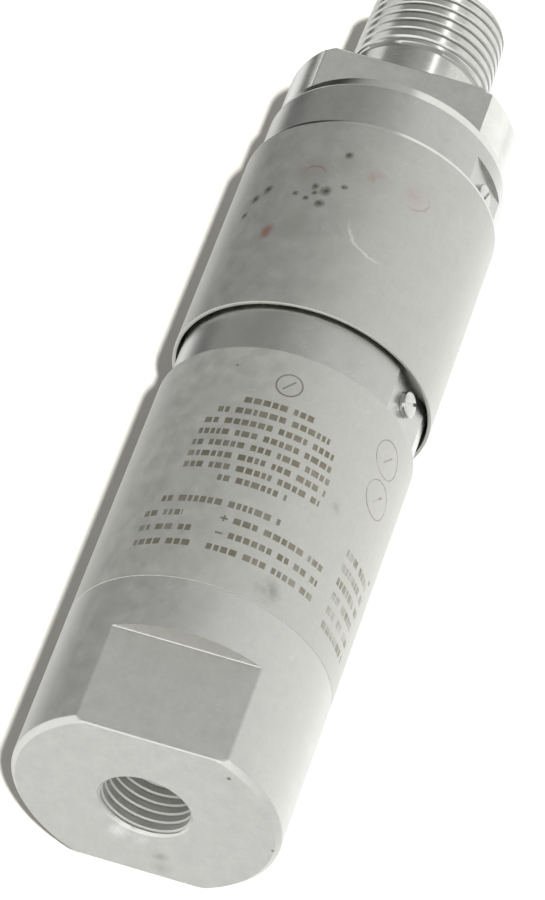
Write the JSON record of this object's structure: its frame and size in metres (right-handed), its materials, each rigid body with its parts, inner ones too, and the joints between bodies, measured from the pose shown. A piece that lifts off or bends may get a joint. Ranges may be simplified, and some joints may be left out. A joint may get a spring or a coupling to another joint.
{
  "type": "pressure transmitter",
  "caption": "Round steel pressure transmitter with a female port, wrench flats, a sliding cover sleeve over its adjusting screws and a male conduit thread.",
  "frame": {"origin": "centre of the pressure port's face, on which the transmitter stands", "axes": "+Z along the axis towards the conduit thread; -Y is the front, square to the wrench flats, where the adjustment ports are"},
  "size_m": [0.0386, 0.0386, 0.1484],
  "materials": {
    "fitting_steel": "turned, satin, worn",
    "housing_steel": "satin body, polished neck, laser marked",
    "sleeve_steel": "matt, stained",
    "cap_steel": "turned and milled",
    "sensor_steel": "turned",
    "foil_steel": "rolled foil",
    "screw_steel": "machined",
    "seal_rubber": "moulded nitrile",
    "bead_glass": "fused bead",
    "die_silicon": "polished silicon",
    "gilt_pins": "gold plated",
    "adjuster_brass": "turned brass",
    "board_laminate": "glass laminate with solder mask",
    "black_plastic": "moulded",
    "carrier_plastic": "moulded",
    "trimmer_plastic": "moulded",
    "can_aluminium": "drawn can",
    "resistor_body": "dipped",
    "potting_resin": "cast resin"
  },
  "bodies": {
    "transmitter": {"process_fitting": "fitting_steel", "isolation_diaphragm": "foil_steel", "sensor_header": "sensor_steel", "header_seal": "seal_rubber", "die_pedestal": "bead_glass", "sensor_die": "die_silicon", "header_pins": "gilt_pins", "pin_glass": "bead_glass", "fill_ball": "sensor_steel", "retaining_ring": "sensor_steel", "housing": "housing_steel", "lower_sleeve_seal": "seal_rubber", "upper_sleeve_seal": "seal_rubber", "carrier_screws": "screw_steel", "board_pillars": "adjuster_brass", "compensation_board": "board_laminate", "board_screws": "screw_steel", "link_block": "black_plastic", "link_pins": "gilt_pins", "amplifier_board": "board_laminate", "board_carrier": "carrier_plastic", "zero_trimmer": "trimmer_plastic", "span_trimmer": "trimmer_plastic", "amplifier_chips": "black_plastic", "filter_capacitors": "can_aluminium", "axial_resistors": "resistor_body", "pass_transistor": "can_aluminium", "lead_terminals": "adjuster_brass", "end_cap": "cap_steel", "cap_seal": "seal_rubber", "ground_lug": "adjuster_brass", "ground_screw": "screw_steel", "lead_grommet": "seal_rubber", "potting_plug": "potting_resin"},
    "cover": {"cover_sleeve": "sleeve_steel"},
    "zero_screw": {"zero_adjuster": "adjuster_brass"},
    "span_screw": {"span_adjuster": "adjuster_brass"}
  },
  "joints": [
    {"name": "cover_slide", "type": "slide", "parent": "transmitter", "child": "cover", "axis": [0, 0, 1], "range_m": [-0.0078, 0.04]},
    {"name": "zero_turn", "type": "hinge", "parent": "transmitter", "child": "zero_screw", "pos_m": [0, -0.0127, 0.084], "axis": [0, -1, 0], "continuous": true},
    {"name": "span_turn", "type": "hinge", "parent": "transmitter", "child": "span_screw", "pos_m": [0, -0.0127, 0.093], "axis": [0, -1, 0], "continuous": true}
  ]
}
